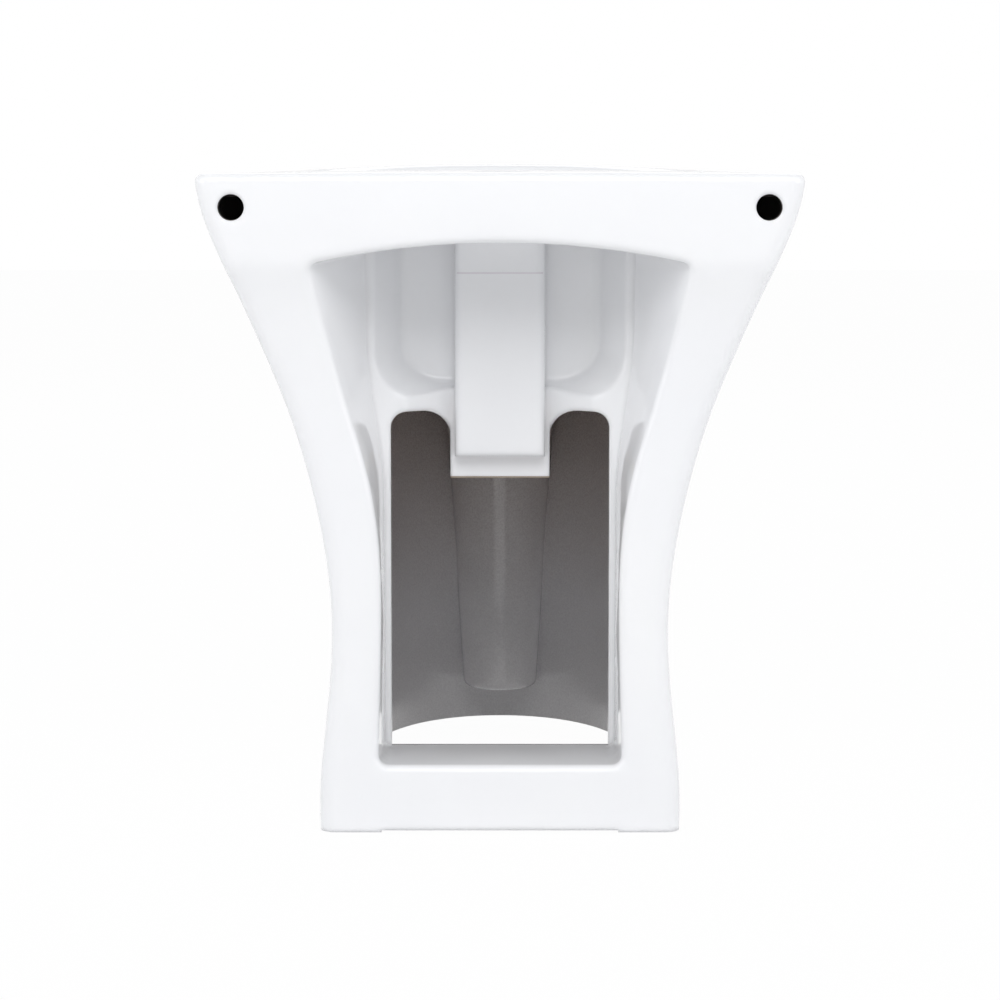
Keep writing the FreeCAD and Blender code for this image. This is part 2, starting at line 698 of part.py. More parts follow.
FLANGE_BOTTOM = SEAT_HEIGHT + FLANGE_SEAL_THICK
FLANGE_TOP = FLANGE_BOTTOM + WASTE_FLANGE_THICK
WASHER_TOP = DRAIN_BOSS_BOTTOM - LOWER_SEAL_THICK
NUT_TOP = WASHER_TOP - SLIP_WASHER_THICK
NUT_BOTTOM = NUT_TOP - NUT_HEIGHT
TAIL_BOTTOM = NUT_BOTTOM - TAIL_BELOW_NUT
CAP_UNDERSIDE = FLANGE_TOP + PLUG_GAP
PLUG_BOSS_BOTTOM = CAP_UNDERSIDE - PLUG_HUB_DEPTH - PLUG_BOSS_LENGTH
CARTRIDGE_TOP = PLUG_BOSS_BOTTOM - CARTRIDGE_HEADROOM
PISTON_TOP = CARTRIDGE_TOP - CARTRIDGE_END_WALL - PLUG_RISE - STEM_GUIDE_GAP
PISTON_BOTTOM = PISTON_TOP - PISTON_THICK
SPRING_BOTTOM = PISTON_BOTTOM - SPRING_END_GAP - SPRING_LENGTH
CARTRIDGE_BORE_BOTTOM = SPRING_BOTTOM - SPRING_END_GAP
BRIDGE_TOP = CARTRIDGE_BORE_BOTTOM - CARTRIDGE_FLOOR


def turned(profile, depth):
    """A solid turned about the upright axis at a depth, from its outline of radii and heights."""
    points = [Vector(radius, at(depth), height) for radius, height in profile]
    face = Part.Face(Part.makePolygon(points + points[:1]))
    return face.revolve(Vector(0, at(depth), 0), Vector(0, 0, 1), 360)


def washer(inside, outside, low, high):
    return upright(outside, DRAIN_DEPTH, low, high).cut(upright(inside, DRAIN_DEPTH, low - 1, high + 1))


def overflow_way():
    """The hidden way from the overflow hole down the channel to the drain."""
    near = OVERFLOW_BOX_DEPTH + OVERFLOW_CHANNEL_WALL
    far = BOWL_BACK_DEPTH - BOWL_WALL + CUT_MARGIN / 2
    channel_top = RIM_HEIGHT - OVERFLOW_CHANNEL_DROP
    channel = block(OVERFLOW_CHANNEL_HALF, near, far, OVERFLOW_DUCT_FLOOR, channel_top)
    duct_near = near + CUT_MARGIN / 2
    duct = block(OVERFLOW_DUCT_HALF, duct_near, DRAIN_DEPTH, OVERFLOW_DUCT_FLOOR, OVERFLOW_DUCT_TOP)
    back_along = (OVERFLOW_WALL_DEPTH - near - CUT_MARGIN) / -OVERFLOW_FACING.y
    start = OVERFLOW_SEAT - OVERFLOW_FACING * back_along
    hole = Part.makeCylinder(OVERFLOW_HOLE_RADIUS, back_along + RING_FLANGE_RADIUS, start, OVERFLOW_FACING)
    spot_radius = RING_FLANGE_RADIUS + RING_SPOT_MARGIN
    spot_face = Part.makeCylinder(spot_radius, RING_FLANGE_RADIUS, OVERFLOW_SEAT, OVERFLOW_FACING)
    return channel.fuse([duct, hole, spot_face])


def side_cylinder(radius, inside, outside):
    """A cylinder along the right-hand fixing, from one distance off the middle to another."""
    start = Vector(inside, at(FIXING_DEPTH), FIXING_HEIGHT)
    return Part.makeCylinder(radius, outside - inside, start, Vector(1, 0, 0))


def mirrored(shape):
    return shape.mirror(Vector(0, 0, 0), Vector(1, 0, 0))


def ceramic_body():
    form = casting_form(0.0).cut(behind_back(0.0)).common(crown(RIM_HEIGHT))
    form = form.cut(recess())

    def back_corner(point, edge):
        on_corner = abs(point.x) > WAIST_HALF_WIDTH - CUT_MARGIN and point.y > at(2 * LEG_FACE_DEPTH)
        return on_corner and edge.Length > RIM_HEIGHT * 0.76 and edge.BoundBox.ZLength > RIM_HEIGHT * 0.7

    def rim_edge(point, edge):
        return point.z > RIM_HEIGHT - RIM_SAG_FRONT - CUT_MARGIN / 2

    def mouth_edge(point, edge):
        behind = point.y > at(LEG_FACE_DEPTH + CUT_MARGIN)
        between = SILL_HEIGHT - 4 * CUT_MARGIN < point.z < ARCH_TOP + CUT_MARGIN / 2
        return behind and between and abs(point.x) < WAIST_HALF_WIDTH - CUT_MARGIN

    def bowl_edge(point, edge):
        across = abs(point.x) < BOWL_HALF_WIDTH + CUT_MARGIN
        along = abs(point.y - at(BOWL_MIDDLE_DEPTH)) < BOWL_HALF_LENGTH + CUT_MARGIN
        return rim_edge(point, edge) and across and along

    form = form.makeFillet(BACK_CORNER_ROUND, edges_where(form, back_corner))
    form = form.makeFillet(RIM_EDGE_ROUND, edges_where(form, rim_edge))
    form = form.makeFillet(RECESS_MOUTH_ROUND, edges_where(form, mouth_edge))
    for side in (-1, 1):
        form = form.cut(bowl(0.0).common(half_space(side)))
    form = form.makeFillet(BOWL_EDGE_ROUND, edges_where(form, bowl_edge))
    form = form.cut(hollow())
    vents = []
    for side in (-1, 1):
        start = Vector(side * (RIM_HALF_WIDTH - VENT_INSET), at(-CUT_MARGIN), RIM_HEIGHT - VENT_DROP)
        vents.append(Part.makeCylinder(VENT_RADIUS, 2 * BAND_WALL, start, Vector(0, -1, 0)))
    tap_hole_low = RIM_HEIGHT - 2 * DECK_THICKNESS
    tap_hole = upright(TAP_HOLE_RADIUS, TAP_HOLE_DEPTH, tap_hole_low, RIM_HEIGHT + CUT_MARGIN)
    drain = upright(DRAIN_HOLE_RADIUS, DRAIN_DEPTH, DRAIN_BOSS_BOTTOM - 1, SEAT_HEIGHT + 1)
    relief = block(WAIST_HALF_WIDTH - FOOT_PAD_WIDTH, -CUT_MARGIN, FOOT_PAD_LENGTH, -CUT_MARGIN, FOOT_RELIEF)
    fixing_hole = side_cylinder(FIXING_HOLE_RADIUS, FIXING_INSIDE - CUT_MARGIN, FIXING_SEAT + CUT_MARGIN)
    spot_face = side_cylinder(SPOT_FACE_RADIUS, FIXING_SEAT, FIXING_SEAT + 2 * CUT_MARGIN)
    fixing = [fixing_hole, spot_face, mirrored(fixing_hole), mirrored(spot_face)]
    for space in vents + [tap_hole, drain, overflow_way(), relief] + fixing:
        form = form.cut(space)
    return form


def overflow_ring():
    """A flanged ring that lines the overflow hole."""
    tube_radius = OVERFLOW_HOLE_RADIUS - RING_CLEARANCE
    flange = Part.makeCylinder(RING_FLANGE_RADIUS, RING_FLANGE_THICK)

    def face_edge(point, edge):
        return point.z > RING_FLANGE_THICK - 0.1 and edge.BoundBox.ZLength < 0.1

    flange = flange.makeFillet(RING_FLANGE_ROUND, edges_where(flange, face_edge))
    tube = Part.makeCylinder(tube_radius, RING_TUBE_LENGTH, Vector(0, 0, -RING_TUBE_LENGTH))
    bore_start = Vector(0, 0, -1.5 * RING_TUBE_LENGTH)
    bore = Part.makeCylinder(tube_radius - RING_WALL, 2 * RING_TUBE_LENGTH, bore_start)
    form = flange.fuse(tube).removeSplitter().cut(bore)
    turn = FreeCAD.Rotation(Vector(0, 0, 1), OVERFLOW_FACING)
    form.Placement = FreeCAD.Placement(OVERFLOW_SEAT, turn)
    return form


def waste_body():
    """The flange that shows in the bowl, its slotted tail and the bridge across it."""
    groove_top = NUT_BOTTOM - TAIL_GROOVE_WIDTH / 2
    outline = [
        (TAIL_BORE_RADIUS, TAIL_BOTTOM),
        (TAIL_RADIUS, TAIL_BOTTOM),
        (TAIL_RADIUS, groove_top - TAIL_GROOVE_WIDTH),
        (TAIL_RADIUS - TAIL_GROOVE_DEPTH, groove_top - TAIL_GROOVE_WIDTH),
        (TAIL_RADIUS - TAIL_GROOVE_DEPTH, groove_top),
        (TAIL_RADIUS, groove_top),
        (TAIL_RADIUS, FLANGE_BOTTOM),
        (WASTE_FLANGE_RADIUS, FLANGE_BOTTOM),
        (WASTE_FLANGE_RADIUS, FLANGE_TOP),
        (PLUG_SEAT_RADIUS, FLANGE_TOP),
        (TAIL_BORE_RADIUS, FLANGE_TOP - PLUG_SEAT_DROP),
    ]
    form = turned(outline, DRAIN_DEPTH)

    def flange_edge(point, edge):
        rim = point.z > FLANGE_TOP - 0.1 and edge.BoundBox.XLength > 2 * PLUG_SEAT_RADIUS + 1
        return rim and edge.BoundBox.ZLength < 0.1

    form = form.makeFillet(WASTE_FLANGE_ROUND, edges_where(form, flange_edge))
    slot_low = OVERFLOW_DUCT_FLOOR + TAIL_SLOT_MARGIN
    slot_high = OVERFLOW_DUCT_TOP - TAIL_SLOT_MARGIN
    reach = 2 * TAIL_RADIUS
    form = form.cut(block(TAIL_SLOT_WIDTH / 2, DRAIN_DEPTH - reach, DRAIN_DEPTH + reach, slot_low, slot_high))
    bottom = BRIDGE_TOP - BRIDGE_THICK
    half_bar = BRIDGE_BAR_WIDTH / 2
    bar = block(half_bar, DRAIN_DEPTH - TAIL_RADIUS, DRAIN_DEPTH + TAIL_RADIUS, bottom, BRIDGE_TOP)
    cross_bar = block(TAIL_RADIUS, DRAIN_DEPTH - BRIDGE_BAR_WIDTH / 2, DRAIN_DEPTH + BRIDGE_BAR_WIDTH / 2,
                      bottom, BRIDGE_TOP)
    hub = upright(BRIDGE_HUB_RADIUS, DRAIN_DEPTH, bottom, BRIDGE_TOP)
    inside_tail = upright((TAIL_RADIUS + TAIL_BORE_RADIUS) / 2, DRAIN_DEPTH, bottom, BRIDGE_TOP)
    bridge = bar.fuse([cross_bar, hub]).common(inside_tail)
    stud_hole = upright(CARTRIDGE_STUD_RADIUS + THREAD_CLEARANCE, DRAIN_DEPTH, bottom - 1, BRIDGE_TOP + 1)
    return form.fuse(bridge).removeSplitter().cut(stud_hole)


def flange_seal():
    return washer(TAIL_RADIUS + SEAL_CLEARANCE, FLANGE_SEAL_RADIUS, SEAT_HEIGHT, FLANGE_BOTTOM)


def lower_seal():
    return washer(TAIL_RADIUS + SEAL_CLEARANCE, LOWER_SEAL_RADIUS, WASHER_TOP, DRAIN_BOSS_BOTTOM)


def slip_washer():
    return washer(TAIL_RADIUS + SEAL_CLEARANCE, SLIP_WASHER_RADIUS, NUT_TOP, WASHER_TOP)


def back_nut():
    """A six-sided nut with a round collar against its washer."""
    corners = []
    for corner in range(6):
        turn = math.pi * corner / 3
        reach = NUT_ACROSS_FLATS / math.sqrt(3)
        corners.append(Vector(reach * math.cos(turn), at(DRAIN_DEPTH) + reach * math.sin(turn), NUT_BOTTOM))
    six_sided = Part.Face(Part.makePolygon(corners + corners[:1])).extrude(Vector(0, 0, NUT_HEIGHT))
    collar = upright(NUT_COLLAR_RADIUS, DRAIN_DEPTH, NUT_TOP - NUT_COLLAR_THICK, NUT_TOP)
    thread = upright(TAIL_RADIUS + THREAD_CLEARANCE, DRAIN_DEPTH, NUT_BOTTOM - 1, NUT_TOP + 1)
    return six_sided.fuse(collar).removeSplitter().cut(thread)


def plug_cap():
    """The domed cap, with the hub under it that carries the seal and takes the stem."""
    edge_top = CAP_UNDERSIDE + CAP_EDGE_HEIGHT
    rise = CAP_DOME_HEIGHT - CAP_EDGE_HEIGHT
    hub_bottom = CAP_UNDERSIDE - PLUG_HUB_DEPTH
    hole_radius = STEM_RADIUS + STEM_FIT
    hole_top = CAP_UNDERSIDE + STEM_INTO_CAP + STEM_FIT
    half_way = CAP_RADIUS / 2
    outline = [
        (0.0, hole_top),
        (hole_radius, hole_top),
        (hole_radius, PLUG_BOSS_BOTTOM),
        (PLUG_BOSS_RADIUS, PLUG_BOSS_BOTTOM),
        (PLUG_BOSS_RADIUS, hub_bottom),
        (PLUG_HUB_RADIUS, hub_bottom),
        (PLUG_HUB_RADIUS, CAP_UNDERSIDE),
        (CAP_RADIUS, CAP_UNDERSIDE),
        (CAP_RADIUS, edge_top),
    ]
    points = [Vector(radius, at(DRAIN_DEPTH), height) for radius, height in outline]
    crest = Vector(0, at(DRAIN_DEPTH), edge_top + rise)
    shoulder = Vector(half_way, at(DRAIN_DEPTH), edge_top + rise * (1 - (half_way / CAP_RADIUS) ** 2))
    edges = Part.makePolygon(points).Edges
    edges.append(Part.Arc(points[-1], shoulder, crest).toShape())
    edges.append(Part.makeLine(crest, points[0]))
    face = Part.Face(Part.Wire(edges))
    form = face.revolve(Vector(0, at(DRAIN_DEPTH), 0), Vector(0, 0, 1), 360)

    def rim_edge(point, edge):
        return abs(point.z - edge_top) < 0.1 and edge.BoundBox.XLength > CAP_RADIUS

    return form.makeFillet(CAP_EDGE_ROUND, edges_where(form, rim_edge))


def plug_seal():
    """A tapered ring round the hub, as steep as the seat that it closes."""
    slope = (PLUG_SEAT_RADIUS - TAIL_BORE_RADIUS) / PLUG_SEAT_DROP
    back_off = PLUG_GAP * math.sqrt(1 + slope ** 2)
    low = CAP_UNDERSIDE - PLUG_SEAL_DEPTH
    low_radius = PLUG_SEAT_RADIUS - slope * (FLANGE_TOP - low) - back_off
    high_radius = PLUG_SEAT_RADIUS - back_off
    inside = PLUG_HUB_RADIUS + PLUG_SEAL_FIT
    outline = [
        (inside, low),
        (low_radius, low),
        (high_radius, FLANGE_TOP),
        (high_radius, CAP_UNDERSIDE),
        (inside, CAP_UNDERSIDE),
    ]
    return turned(outline, DRAIN_DEPTH)


def plug_stem():
    stem = upright(STEM_RADIUS, DRAIN_DEPTH, PISTON_BOTTOM, CAP_UNDERSIDE + STEM_INTO_CAP)
    piston = upright(PISTON_RADIUS, DRAIN_DEPTH, PISTON_BOTTOM, PISTON_TOP)
    return stem.fuse(piston).removeSplitter()


def click_cartridge():
    """The housing of the latch: a bored barrel on a threaded stud."""
    barrel = upright(CARTRIDGE_BORE_RADIUS + CARTRIDGE_WALL, DRAIN_DEPTH, BRIDGE_TOP, CARTRIDGE_TOP)
    stud = upright(CARTRIDGE_STUD_RADIUS, DRAIN_DEPTH, BRIDGE_TOP - CARTRIDGE_STUD_LENGTH, BRIDGE_TOP)
    bore_top = CARTRIDGE_TOP - CARTRIDGE_END_WALL
    bore = upright(CARTRIDGE_BORE_RADIUS, DRAIN_DEPTH, CARTRIDGE_BORE_BOTTOM, bore_top)
    guide = upright(STEM_RADIUS + STEM_GUIDE_GAP, DRAIN_DEPTH, bore_top - 1, CARTRIDGE_TOP + 1)
    return barrel.fuse(stud).removeSplitter().cut(bore.fuse(guide))


def arc_from(start, heading, end):
    """The arc that leaves one point on a heading and ends at another."""
    chord = end - start
    middle = (start + end) * 0.5
    along = Vector(chord).normalize()
    aside = heading - along * heading.dot(along)
    bulge = math.tan(math.acos(heading.dot(along)) / 2) * chord.Length / 2
    return Part.Arc(start, middle + aside.normalize() * bulge, end).toShape()


def coil_path(radius, pitch, turns):
    """A rising coil, made of two smooth arcs to each quarter turn."""
    edges = []
    slope = pitch / (2 * math.pi)
    for quarter in range(4 * turns):
        ends = []
        for turn in (quarter * math.pi / 2, (quarter + 1) * math.pi / 2):
            place = Vector(radius * math.cos(turn), radius * math.sin(turn), slope * turn)
            heading = Vector(-radius * math.sin(turn), radius * math.cos(turn), slope).normalize()
            ends.append((place, heading))
        (start, leaving), (end, arriving) = ends
        across = end - start
        both = across.dot(leaving + arriving)
        turned_by = 1 - leaving.dot(arriving)
        reach = (math.sqrt(both ** 2 + 2 * turned_by * across.dot(across)) - both) / (2 * turned_by)
        joint = (start + end + (leaving - arriving) * reach) * 0.5
        heading = (end - arriving * reach - start - leaving * reach).normalize()
        edges.append(arc_from(start, leaving, joint))
        edges.append(arc_from(joint, heading, end))
    return Part.Wire(edges)


def cartridge_spring():
    """A coil that lifts the plug when the latch lets go."""
    rise = SPRING_LENGTH - 2 * SPRING_WIRE_RADIUS
    path = coil_path(SPRING_RADIUS, rise / SPRING_TURNS, SPRING_TURNS)
    wire = Part.Wire([Part.makeCircle(SPRING_WIRE_RADIUS, Vector(SPRING_RADIUS, 0, 0), Vector(0, 1, 0))])
    form = path.makePipeShell([wire], True, False)
    form.translate(Vector(0, at(DRAIN_DEPTH), SPRING_BOTTOM + SPRING_WIRE_RADIUS))
    return form


def screw_sleeve():
    """A flanged bush between the screw and the china."""
    flange = side_cylinder(SLEEVE_FLANGE_RADIUS, FIXING_SEAT, FIXING_SEAT + SLEEVE_FLANGE_THICK)
    tube = side_cylinder(FIXING_HOLE_RADIUS - SLEEVE_CLEARANCE, FIXING_INSIDE + SLEEVE_END_GAP, FIXING_SEAT)
    bore = side_cylinder(SCREW_RADIUS + SCREW_CLEARANCE, FIXING_INSIDE - 10, FIXING_SEAT + 10)
    return flange.fuse(tube).removeSplitter().cut(bore)


def fixing_screw():
    head_seat = FIXING_SEAT + SLEEVE_FLANGE_THICK
    tip = BRACKET_FACE - BRACKET_THICK - SCREW_PAST_BRACKET
    shank = side_cylinder(SCREW_RADIUS, tip, head_seat)
    head = side_cylinder(SCREW_HEAD_RADIUS, head_seat, head_seat + SCREW_HEAD_HEIGHT)

    def head_edge(point, edge):
        return point.x > head_seat + SCREW_HEAD_HEIGHT - 0.1 and edge.BoundBox.XLength < 0.1

    head = head.makeFillet(SCREW_HEAD_HEIGHT / 2, edges_where(head, head_edge))
    return shank.fuse(head).removeSplitter()


def screw_cap():
    """A hollow cap that snaps over the flange of the sleeve and hides the screw."""
    inside_radius = SLEEVE_FLANGE_RADIUS + CAP_CLEARANCE
    room = FIXING_SEAT + SLEEVE_FLANGE_THICK + SCREW_HEAD_HEIGHT + CAP_HEADROOM
    outer = side_cylinder(inside_radius + CAP_WALL, FIXING_SEAT, room + CAP_WALL)

    def outer_edge(point, edge):
        return point.x > room + CAP_WALL - 0.1 and edge.BoundBox.XLength < 0.1

    outer = outer.makeFillet(CAP_ROUND, edges_where(outer, outer_edge))
    return outer.cut(side_cylinder(inside_radius, FIXING_SEAT - 1, room))


def floor_bracket():
    """An angle with two ribs: its foot is screwed to the floor and its upright takes the side screw."""
    half = BRACKET_WIDTH / 2
    middle = at(FIXING_DEPTH)
    foot_end = BRACKET_FACE - BRACKET_FOOT_LENGTH
    foot_start = Vector(foot_end, middle - half, 0)
    foot = Part.makeBox(BRACKET_FOOT_LENGTH, BRACKET_WIDTH, BRACKET_FOOT_THICK, foot_start)
    upright_start = Vector(BRACKET_FACE - BRACKET_THICK, middle - half, 0)
    leaf = Part.makeBox(BRACKET_THICK, BRACKET_WIDTH, BRACKET_HEIGHT, upright_start)

    def foot_corner(point, edge):
        return point.x < foot_end + 0.1 and edge.BoundBox.ZLength > BRACKET_FOOT_THICK - 0.1

    def leaf_corner(point, edge):
        return point.z > BRACKET_HEIGHT - 0.1 and edge.BoundBox.XLength > BRACKET_THICK - 0.1

    foot = foot.makeFillet(BRACKET_ROUND, edges_where(foot, foot_corner))
    leaf = leaf.makeFillet(BRACKET_ROUND, edges_where(leaf, leaf_corner))
    inner = BRACKET_FACE - BRACKET_THICK
    rib_top = BRACKET_HEIGHT - BRACKET_RIB_SHORT
    rib_points = [
        Vector(inner + 1, 0, BRACKET_FOOT_THICK - 1),
        Vector(inner - BRACKET_RIB_REACH, 0, BRACKET_FOOT_THICK - 1),
        Vector(inner - BRACKET_RIB_REACH, 0, BRACKET_FOOT_THICK),
        Vector(inner, 0, rib_top),
        Vector(inner + 1, 0, rib_top),
    ]
    ribs = []
    for rib_y in (middle - half, middle + half - BRACKET_RIB_THICK):
        rib_face = Part.Face(Part.makePolygon(rib_points + rib_points[:1]))
        rib = rib_face.extrude(Vector(0, BRACKET_RIB_THICK, 0))
        rib.translate(Vector(0, rib_y, 0))
        ribs.append(rib)
    floor_hole = Part.makeCylinder(FLOOR_HOLE_RADIUS, 2 * BRACKET_FOOT_THICK,
                                   Vector(BRACKET_FACE - FLOOR_HOLE_INSET, middle, -1))
    screw_hole = side_cylinder(SCREW_RADIUS + SCREW_CLEARANCE, inner - 1, BRACKET_FACE + 1)
    form = foot.fuse([leaf] + ribs).removeSplitter()
    return form.cut(floor_hole).cut(screw_hole)


PIECES = {
    "ceramic_body": ceramic_body(),
    "overflow_ring": overflow_ring(),
    "waste_body": waste_body(),
    "flange_seal": flange_seal(),
    "lower_seal": lower_seal(),
    "slip_washer": slip_washer(),
    "back_nut": back_nut(),
    "plug_cap": plug_cap(),
    "plug_seal": plug_seal(),
    "plug_stem": plug_stem(),
    "click_cartridge": click_cartridge(),
    "cartridge_spring": cartridge_spring(),
}
for name, make in (
    ("floor_bracket", floor_bracket),
    ("fixing_screw", fixing_screw),
    ("screw_sleeve", screw_sleeve),
    ("screw_cap", screw_cap),
):
    right = make()
    PIECES["right_" + name] = right
    PIECES["left_" + name] = mirrored(right)

os.makedirs("parts", exist_ok=True)
for name, shape in PIECES.items():
    shape.exportStep("parts/" + name + ".step")
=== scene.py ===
import bpy
import bmesh
import math
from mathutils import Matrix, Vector
from mathutils.bvhtree import BVHTree


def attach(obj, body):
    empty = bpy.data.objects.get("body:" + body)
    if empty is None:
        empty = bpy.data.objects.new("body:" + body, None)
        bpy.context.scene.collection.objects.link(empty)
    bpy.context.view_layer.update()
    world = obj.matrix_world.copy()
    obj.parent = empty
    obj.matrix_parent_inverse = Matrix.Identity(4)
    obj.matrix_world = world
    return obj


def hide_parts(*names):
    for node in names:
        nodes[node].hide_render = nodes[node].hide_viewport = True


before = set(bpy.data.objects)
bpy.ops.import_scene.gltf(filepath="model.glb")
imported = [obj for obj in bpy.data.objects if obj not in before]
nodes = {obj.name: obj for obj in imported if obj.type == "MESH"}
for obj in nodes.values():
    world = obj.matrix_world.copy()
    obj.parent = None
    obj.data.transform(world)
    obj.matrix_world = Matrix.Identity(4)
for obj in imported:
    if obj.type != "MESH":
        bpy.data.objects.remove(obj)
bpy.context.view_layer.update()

# Where things are on the ware, in metres. A depth is measured forward from the wall plane.
WALL_PLANE = 0.27695
BAND_WALL = 0.012
COVE_DEPTH = 0.026
RECESS_DEPTH = 0.078
BOX_DEPTH = 0.086
APRON_DEPTH = 0.098
POCKET_DEPTH = 0.106
BOWL_MIDDLE_DEPTH = 0.319
SILL_UNDERSIDE = 0.040
APRON_BOTTOM = 0.2075
ARCH_HEIGHT = 0.2506
SEAT_HEIGHT = 0.2655
CHAMBER_FLOOR = 0.33
DECK_UNDERSIDE = 0.385
LEG_INSIDE = 0.060
CHAMBER_HALF = 0.0815
VENT_PLACE = 0.159
VENT_HEIGHT = 0.3784
VENT_RADIUS = 0.0078
VENT_REACH = 0.030
OVER_BOWL = Vector((0.0, WALL_PLANE - BOWL_MIDDLE_DEPTH, 0.8))

# The thin painted shadow line across the overflow box, where the band's shadow ends, and the lower edge of the
# apron where the glaze runs thin
SHADOW_LINE_HEIGHT = 0.3361
SHADOW_LINE_HALF = 0.0275
SHADOW_LINE_THICK = 0.0009
SHADOW_LINE_SLACK = 0.001
APRON_EDGE_HALF = 0.0320
APRON_EDGE = 0.0011
APRON_SLACK = 0.004
APRON_UNDER = 0.002

# The finishes of the casting, and the small distances and angles by which its faces are told apart.
# An angle is given as its cosine: how squarely a face looks one way.
# The raw clay finish is painted near black, as painted shade in the vents and hollows
GLAZE, WASH, SHADED_CLAY = 0, 1, 2
HAIR = 0.0003
TOUCH = 0.0005
GRACE = 0.001
UNDERFOOT = 0.002
POCKET_SLACK = 0.0025
OUTER_SKIN = 0.004
LEG_WALL = 0.022
# Above this height inside the foot the raw clay is painted near black, as painted shade
SHADED_CLAY_LEVEL = 0.3
BARELY = 0.15
SLIGHTLY = 0.2
PARTLY = 0.3
MOSTLY = 0.5
SQUARELY = 0.9

# The outline of the casting: half its width at the waist and the rim, how far forward its front comes there,
# how far its sides run on behind the wall plane, and how full the curve of its front is
WAIST_HALF = 0.102
RIM_HALF = 0.182
WAIST_FRONT = 0.405
RIM_FRONT = 0.556
OVERRUN = 0.030
FOOT_FULLNESS = 5.5
RIM_FULLNESS = 5.0
SIDES = (
    (0.0, 0.1093),
    (0.0459, 0.1080),
    (0.1173, 0.1020),
    (0.1740, 0.1066),
    (0.2147, 0.1153),
    (0.2554, 0.1275),
    (0.2965, 0.1438),
    (0.3268, 0.1568),
    (0.3523, 0.1684),
    (0.3783, 0.1780),
    (0.4086, 0.1820),
)


# The camera stands square behind the ware and looks a little down on it
LENS_MM = 115.46
SENSOR_MM = 36.0
CAMERA_BEHIND = 1.9
CAMERA_HEIGHT = 0.420
CAMERA_PITCH = 6.467

# Light: what the white studio gives, and each softbox by its name, place, aim, width, height and watts
FILL_LEVEL = 0.45
LAMPS = (
    ("key_softbox", (0.0, 2.7, 2.4), (0.0, 0.1, 0.2), 2.6, 1.6, 43.0),
    ("left_softbox", (2.3, 1.2, 1.2), (0.0, 0.0, 0.2), 1.2, 1.8, 17.0),
    ("right_softbox", (-2.3, 1.2, 1.2), (0.0, 0.0, 0.2), 1.2, 1.8, 17.0),
    ("front_softbox", (0.0, -2.6, 2.2), (0.0, -0.1, 0.25), 2.6, 1.6, 18.0),
)

# Floor: its paint, how much of it shows plain white, its half size and how far it lies under the foot
FLOOR_GREY = 0.90
FLOOR_SHOWN_WHITE = 0.975
FLOOR_HALF = 8.0
FLOOR_DROP = 0.0004

# Corners closer than this are one corner, and edges sharper than these angles stay sharp
MERGE = 0.000002
CASTING_SHARP = 40.0
FITTING_SHARP = 32.0


# Camera, lamps and floor

def set_camera():
    lens = bpy.data.cameras.new("studio_camera")
    lens.sensor_width = SENSOR_MM
    lens.lens = LENS_MM
    camera = bpy.data.objects.new("studio_camera", lens)
    camera.location = (0.0, WALL_PLANE + CAMERA_BEHIND, CAMERA_HEIGHT)
    camera.rotation_euler = (math.radians(90.0 - CAMERA_PITCH), 0.0, math.radians(180.0))
    bpy.context.collection.objects.link(camera)
    bpy.context.scene.camera = camera


def add_softbox(name, place, aim, width, height, power):
    lamp = bpy.data.lights.new(name, "AREA")
    lamp.shape = "RECTANGLE"
    lamp.size = width
    lamp.size_y = height
    lamp.energy = power
    holder = bpy.data.objects.new(name, lamp)
    holder.location = place
    holder.rotation_euler = (Vector(aim) - Vector(place)).to_track_quat("-Z", "Y").to_euler()
    bpy.context.collection.objects.link(holder)


def seen_directly(tree):
    """One where a ray comes from the lens or off a mirror or through glass, and nought elsewhere."""
    path = tree.nodes.new("ShaderNodeLightPath")
    lens_or_mirror = tree.nodes.new("ShaderNodeMath")
    lens_or_mirror.operation = "MAXIMUM"
    tree.links.new(path.outputs["Is Camera Ray"], lens_or_mirror.inputs[0])
    tree.links.new(path.outputs["Is Glossy Ray"], lens_or_mirror.inputs[1])
    either = tree.nodes.new("ShaderNodeMath")
    either.operation = "MAXIMUM"
    tree.links.new(lens_or_mirror.outputs[0], either.inputs[0])
    tree.links.new(path.outputs["Is Transmission Ray"], either.inputs[1])
    return either.outputs[0]


def set_world():
    world = bpy.data.worlds.new("white_studio")
    world.use_nodes = True
    tree = world.node_tree
    shown = tree.nodes.new("ShaderNodeBackground")
    shown.inputs["Color"].default_value = (1.0, 1.0, 1.0, 1.0)
    shown.inputs["Strength"].default_value = 1.0
    fill = tree.nodes["Background"]
    fill.inputs["Color"].default_value = (0.97, 0.98, 1.0, 1.0)
    fill.inputs["Strength"].default_value = FILL_LEVEL
    pick = tree.nodes.new("ShaderNodeMixShader")
    tree.links.new(seen_directly(tree), pick.inputs[0])
    tree.links.new(fill.outputs[0], pick.inputs[1])
    tree.links.new(shown.outputs[0], pick.inputs[2])
    tree.links.new(pick.outputs[0], tree.nodes["World Output"].inputs["Surface"])
    bpy.context.scene.world = world


def floor_paint():
    paint = bpy.data.materials.new("floor_paint")
    paint.use_nodes = True
    tree = paint.node_tree
    tree.nodes.remove(tree.nodes["Principled BSDF"])
    matt = tree.nodes.new("ShaderNodeBsdfDiffuse")
    matt.inputs["Color"].default_value = (FLOOR_GREY, FLOOR_GREY, FLOOR_GREY, 1.0)
    glow = tree.nodes.new("ShaderNodeEmission")
    glow.inputs["Color"].default_value = (1.0, 1.0, 1.0, 1.0)
    glow.inputs["Strength"].default_value = 1.0
    share = tree.nodes.new("ShaderNodeMath")
    share.operation = "MULTIPLY"
    share.inputs[1].default_value = FLOOR_SHOWN_WHITE
    tree.links.new(seen_directly(tree), share.inputs[0])
    pick = tree.nodes.new("ShaderNodeMixShader")
    tree.links.new(share.outputs[0], pick.inputs[0])
    tree.links.new(matt.outputs[0], pick.inputs[1])
    tree.links.new(glow.outputs[0], pick.inputs[2])
    tree.links.new(pick.outputs[0], tree.nodes["Material Output"].inputs["Surface"])
    return paint


